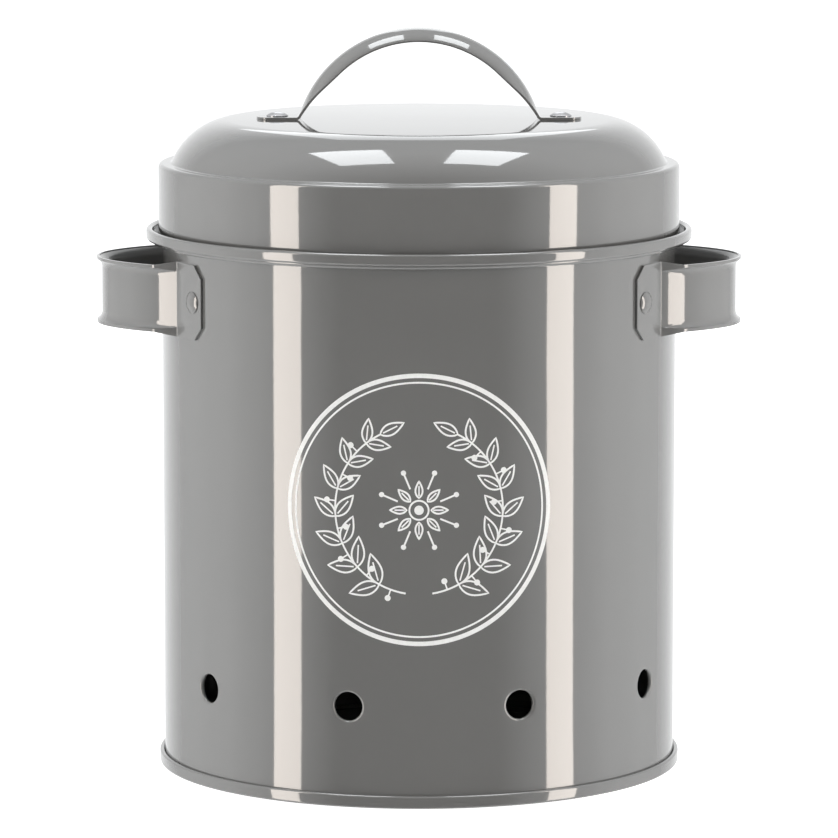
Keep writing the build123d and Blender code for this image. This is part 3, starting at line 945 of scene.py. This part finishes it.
class TIN_OT_print(bpy.types.Operator):
    """Print the double ring, the leaf wreath and its rosette on the front of the wall"""

    bl_idname = "tin.print"
    bl_label = "Print"

    def execute(self, context):
        sizes = context.scene.tin_sizes
        ring = bmesh.new()
        thick = self.circle(sizes.ring_radius - sizes.ring_line / 2, RING_STEPS)
        self.ribbon(ring, thick, sizes.ring_line, True)
        fine = self.circle(sizes.ring_radius - FINE_RING_INSET, RING_STEPS)
        self.ribbon(ring, fine, sizes.fine_line, True)
        self.lay("printed_ring", ring, sizes.print_height)
        wreath = bmesh.new()
        for side in (-1, 1):
            self.sprig(wreath, side, sizes.fine_line)
        self.lay("printed_wreath", wreath, sizes.print_height)
        rosette = bmesh.new()
        self.rosette(rosette, sizes.fine_line)
        self.lay("printed_rosette", rosette, sizes.print_height)
        return {"FINISHED"}

    @staticmethod
    def circle(radius, count, centre=Vector((0, 0))):
        turns = (2 * pi * i / count for i in range(count))
        return [centre + Vector((cos(turn), sin(turn))) * radius for turn in turns]

    @staticmethod
    def ribbon(bm, points, width, closed=False, level=0):
        """A drawn line of one width in the XY plane. A higher level lies over a lower one."""
        count = len(points)
        sides = []
        for i, point in enumerate(points):
            before = points[i - 1] if i or closed else point
            after = points[(i + 1) % count] if i < count - 1 or closed else point
            along = (after - before).normalized()
            off = Vector((-along.y, along.x)) * width / 2
            lift = level * LAYER
            sides.append([bm.verts.new((*(point + off * way), lift)) for way in (1, -1)])
        last = count if closed else count - 1
        for i in range(last):
            (a, b), (c, d) = sides[i], sides[(i + 1) % count]
            bm.faces.new((a, b, d, c))

    @staticmethod
    def dot(bm, centre, radius, level=0):
        place = Matrix.Translation((*centre, level * LAYER))
        bmesh.ops.create_circle(bm, cap_ends=True, radius=radius, segments=20, matrix=place)

    @classmethod
    def leaf(cls, bm, root, heading, length, line):
        """A pointed leaf in outline, with its midrib."""
        along = Vector((cos(heading), sin(heading)))
        off = Vector((-along.y, along.x))
        half = [(i / 12, LEAF_WIDTH_SHARE / 2 * length * sin(pi * (i / 12) ** 0.8)) for i in range(13)]
        outline = [root + along * length * s + off * w for s, w in half]
        outline += [root + along * length * s - off * w for s, w in reversed(half[1:-1])]
        cls.ribbon(bm, outline, line, True, 1)
        cls.ribbon(bm, [root + along * length * s for s in (0.12, 0.4, 0.72)], 0.8 * line, False, 2)

    @classmethod
    def sprig(cls, bm, side, line):
        """One leafy branch that follows half of the wreath, with berries between its leaves."""
        def on_branch(share):
            turn = -pi / 2 + side * (WREATH_OPENS + (pi - 4 * WREATH_OPENS) * share)
            return Vector((cos(turn), sin(turn))) * WREATH_R, turn + side * pi / 2

        cls.ribbon(bm, [on_branch(i / 40)[0] for i in range(41)], line)
        for i in range(1, WREATH_LEAVES + 1):
            place, heading = on_branch(i / (WREATH_LEAVES + 0.6))
            length = LEAF_LENGTH * (1 - 0.25 * i / WREATH_LEAVES)
            for way in (-1, 1):
                cls.leaf(bm, place, heading + way * LEAF_ANGLE, length, line)
            berry, turned = on_branch((i - 0.45) / (WREATH_LEAVES + 0.6))
            way = 1 if i % 2 else -1
            out = Vector((-sin(turned), cos(turned))) * way * BERRY_STALK
            cls.ribbon(bm, [berry, berry + out], 0.8 * line, False, 3)
            cls.dot(bm, berry + out, BERRY_R, 4)
        cls.leaf(bm, *on_branch(1), 0.8 * LEAF_LENGTH, line)

    @classmethod
    def rosette(cls, bm, line):
        """A round flower of two rows of petals in the wreath's middle."""
        cls.dot(bm, Vector((0, 0)), FLOWER_EYE_R)
        cls.ribbon(bm, cls.circle(FLOWER_RING_R, 40), line, True)
        for count, near, far, shift in FLOWER_ROWS:
            for i in range(count):
                turn = 2 * pi * (i + shift) / count
                root = Vector((cos(turn), sin(turn))) * near
                if shift:
                    cls.dot(bm, root * (far / near), FLOWER_DOT_R, 2)
                    cls.ribbon(bm, [root, root * (far / near)], line, False, 1)
                else:
                    cls.leaf(bm, root, turn, far - near, line)

    @staticmethod
    def lay(name, bm, height):
        """Lays a flat drawing round the wall, X round the tin and Y up, and gives the ink its film."""
        for vert in bm.verts:
            x, y, z = vert.co
            vert.co = outward(x / WALL_R) * (WALL_R + INK_LIFT + z) + Vector((0, 0, height + y))
        bm.normal_update()
        bmesh.ops.reverse_faces(bm, faces=[f for f in bm.faces if not from_axis(f)])
        add_piece(name, bm, "tin", [], screen_ink(), sheet=INK_FILM, side=1)


class TIN_OT_stage(bpy.types.Operator):
    """Set up the pale floor, the soft lamps, the white surround and the camera"""

    bl_idname = "tin.stage"
    bl_label = "Stage"

    def execute(self, context):
        self.floor(context.scene.tin_colours.floor)
        self.world()
        self.lamps()
        self.camera()
        context.scene.view_settings.view_transform = "Standard"
        return {"FINISHED"}

    @staticmethod
    def floor(colour):
        """A pale floor that looks white to the camera but keeps the tin's shadow."""
        bm = bmesh.new()
        bmesh.ops.create_grid(bm, x_segments=1, y_segments=1, size=6.0)
        mesh = bpy.data.meshes.new("floor")
        bm.to_mesh(mesh)
        bm.free()
        floor = bpy.data.objects.new("floor", mesh)
        floor.location.z = -FLOOR_DROP
        bpy.context.scene.collection.objects.link(floor)
        material, tree = new_material("pale_studio_floor")
        paint = add_node(tree, "ShaderNodeBsdfPrincipled", {"Base Color": colour, "Roughness": 0.7})
        place = add_node(tree, "ShaderNodeTexCoord").outputs["Object"]
        away = add_node(tree, "ShaderNodeVectorMath", {"operation": "LENGTH"}, {0: place})
        level = add_node(
            tree,
            "ShaderNodeMapRange",
            {"From Min": GLOW_NEAR, "From Max": GLOW_FAR, "To Min": GLOW_LOW, "To Max": 1.0},
            {"Value": away.outputs["Value"]},
        )
        seen = add_node(tree, "ShaderNodeLightPath").outputs["Is Camera Ray"]
        strength = add_node(
            tree, "ShaderNodeMath", {"operation": "MULTIPLY"}, {0: level.outputs["Result"], 1: seen}
        )
        glow = add_node(tree, "ShaderNodeEmission", {}, {"Strength": strength.outputs["Value"]})
        both = add_node(tree, "ShaderNodeAddShader", {}, {0: paint.outputs["BSDF"], 1: glow.outputs["Emission"]})
        below = add_node(tree, "ShaderNodeNewGeometry").outputs["Backfacing"]
        clear = add_node(tree, "ShaderNodeBsdfTransparent")
        one_way = add_node(tree, "ShaderNodeMixShader", {}, {0: below})
        tree.links.new(both.outputs["Shader"], one_way.inputs[1])
        tree.links.new(clear.outputs["BSDF"], one_way.inputs[2])
        add_node(tree, "ShaderNodeOutputMaterial", {}, {"Surface": one_way.outputs["Shader"]})
        mesh.materials.append(material)
        floor.visible_glossy = False

    @staticmethod
    def world():
        """A white surround for the camera. The gloss meets pale walls, dark only behind the photographer."""
        world = bpy.data.worlds.new("studio")
        bpy.context.scene.world = world
        world.use_nodes = True
        tree = world.node_tree
        tree.nodes.clear()
        rays = add_node(tree, "ShaderNodeLightPath")
        coord = add_node(tree, "ShaderNodeTexCoord")
        split = add_node(tree, "ShaderNodeSeparateXYZ", {}, {"Vector": coord.outputs["Generated"]})
        to_back = add_node(
            tree, "ShaderNodeMapRange", {"From Min": -1.0, "From Max": 1.0}, {"Value": split.outputs["Y"]}
        )
        walls = add_node(tree, "ShaderNodeValToRGB", {}, {"Fac": to_back.outputs["Result"]})
        while len(walls.color_ramp.elements) < len(STUDIO_WALLS):
            walls.color_ramp.elements.new(0.5)
        for element, (share, level) in zip(walls.color_ramp.elements, STUDIO_WALLS):
            element.position = share
            element.color = (level * 0.985, level * 0.995, level, 1)
        studio = add_node(
            tree, "ShaderNodeBackground", {"Strength": WALLS_LEVEL}, {"Color": walls.outputs["Color"]}
        )
        soft = add_node(tree, "ShaderNodeBackground", {"Color": SOFT_LIGHT, "Strength": SOFT_LEVEL})
        white = add_node(tree, "ShaderNodeBackground", {"Color": (1, 1, 1, 1), "Strength": 1.0})
        lit = add_node(tree, "ShaderNodeMixShader", {}, {0: rays.outputs["Is Glossy Ray"]})
        tree.links.new(soft.outputs["Background"], lit.inputs[1])
        tree.links.new(studio.outputs["Background"], lit.inputs[2])
        seen = add_node(tree, "ShaderNodeMixShader", {}, {0: rays.outputs["Is Camera Ray"]})
        tree.links.new(lit.outputs["Shader"], seen.inputs[1])
        tree.links.new(white.outputs["Background"], seen.inputs[2])
        add_node(tree, "ShaderNodeOutputWorld", {}, {"Surface": seen.outputs["Shader"]})

    @classmethod
    def lamps(cls):
        """Two tall strip boxes in front, two boxes overhead, one high behind, and two broad fills."""
        tin_middle = Vector((0, 0, TIN_MIDDLE_Z))
        for name, azimuth in (("strip_left", STRIP_LEFT), ("strip_right", STRIP_RIGHT)):
            place = outward(azimuth) * LAMPS_AWAY + Vector((0, 0, STRIP_Z))
            cls.lamp(name, place, place * Vector((0, 0, 1)), STRIP_SIZE, STRIP_POWER, WARM)
        for name, side in (("overhead_left", -1), ("overhead_right", 1)):
            place = Vector(OVERHEAD_PLACE) * Vector((side, 1, 1))
            cls.lamp(name, place, place * Vector((1, 1, 0)), OVERHEAD_SIZE, OVERHEAD_POWER, COOL)
        cls.lamp("high_behind", Vector(BEHIND_PLACE), tin_middle, BEHIND_SIZE, BEHIND_POWER, COOL)
        for name, azimuth in (("fill_left", -FILL_AZIMUTH), ("fill_right", FILL_AZIMUTH)):
            place = outward(azimuth) * LAMPS_AWAY + Vector((0, 0, FILL_Z))
            fill = cls.lamp(name, place, tin_middle, FILL_SIZE, FILL_POWER, COOL)
            fill.visible_glossy = False

    @staticmethod
    def lamp(name, place, aim, size, power, colour):
        data = bpy.data.lights.new(name, "AREA")
        data.shape = "RECTANGLE"
        data.size, data.size_y = size
        data.energy = power
        data.color = colour
        lamp = bpy.data.objects.new(name, data)
        lamp.location = place
        lamp.rotation_euler = (aim - place).to_track_quat("-Z", "Y").to_euler()
        lamp.visible_camera = False
        bpy.context.scene.collection.objects.link(lamp)
        return lamp

    @staticmethod
    def camera():
        data = bpy.data.cameras.new("photograph")
        data.sensor_width = SENSOR_MM
        data.lens = FOCAL_PX / PHOTO_SIDE * SENSOR_MM
        data.clip_end = 50
        camera = bpy.data.objects.new("photograph", data)
        camera.location = (0, -CAMERA_BACK, CAMERA_HEIGHT)
        camera.rotation_euler = (pi / 2 - CAMERA_PITCH, 0, 0)
        bpy.context.scene.collection.objects.link(camera)
        bpy.context.scene.camera = camera


OPERATORS = (
    TIN_OT_stage,
    TIN_OT_wall,
    TIN_OT_base,
    TIN_OT_lid,
    TIN_OT_lid_handle,
    TIN_OT_side_handles,
    TIN_OT_rivets,
    TIN_OT_print,
)


class TIN_PT_panel(bpy.types.Panel):
    """Lists the tin's sizes, colours and pieces"""

    bl_idname = "TIN_PT_panel"
    bl_label = "Storage tin"
    bl_space_type = "VIEW_3D"
    bl_region_type = "UI"
    bl_category = "Tin"

    def draw(self, context):
        layout = self.layout
        for group in (context.scene.tin_sizes, context.scene.tin_colours):
            for name in group.__annotations__:
                layout.prop(group, name)
        for operator in OPERATORS:
            layout.operator(operator.bl_idname)


CLASSES = (TinSizes, TinColours, *OPERATORS, TIN_PT_panel)


def register():
    for item in CLASSES:
        bpy.utils.register_class(item)
    bpy.types.Scene.tin_sizes = bpy.props.PointerProperty(type=TinSizes)
    bpy.types.Scene.tin_colours = bpy.props.PointerProperty(type=TinColours)


def unregister():
    del bpy.types.Scene.tin_colours
    del bpy.types.Scene.tin_sizes
    for item in reversed(CLASSES):
        bpy.utils.unregister_class(item)


def main():
    register()
    bpy.ops.tin.stage()
    bpy.ops.tin.wall()
    bpy.ops.tin.base()
    bpy.ops.tin.lid()
    bpy.ops.tin.lid_handle()
    bpy.ops.tin.side_handles()
    bpy.ops.tin.rivets()
    bpy.ops.tin.print()


if __name__ == "__main__":
    main()
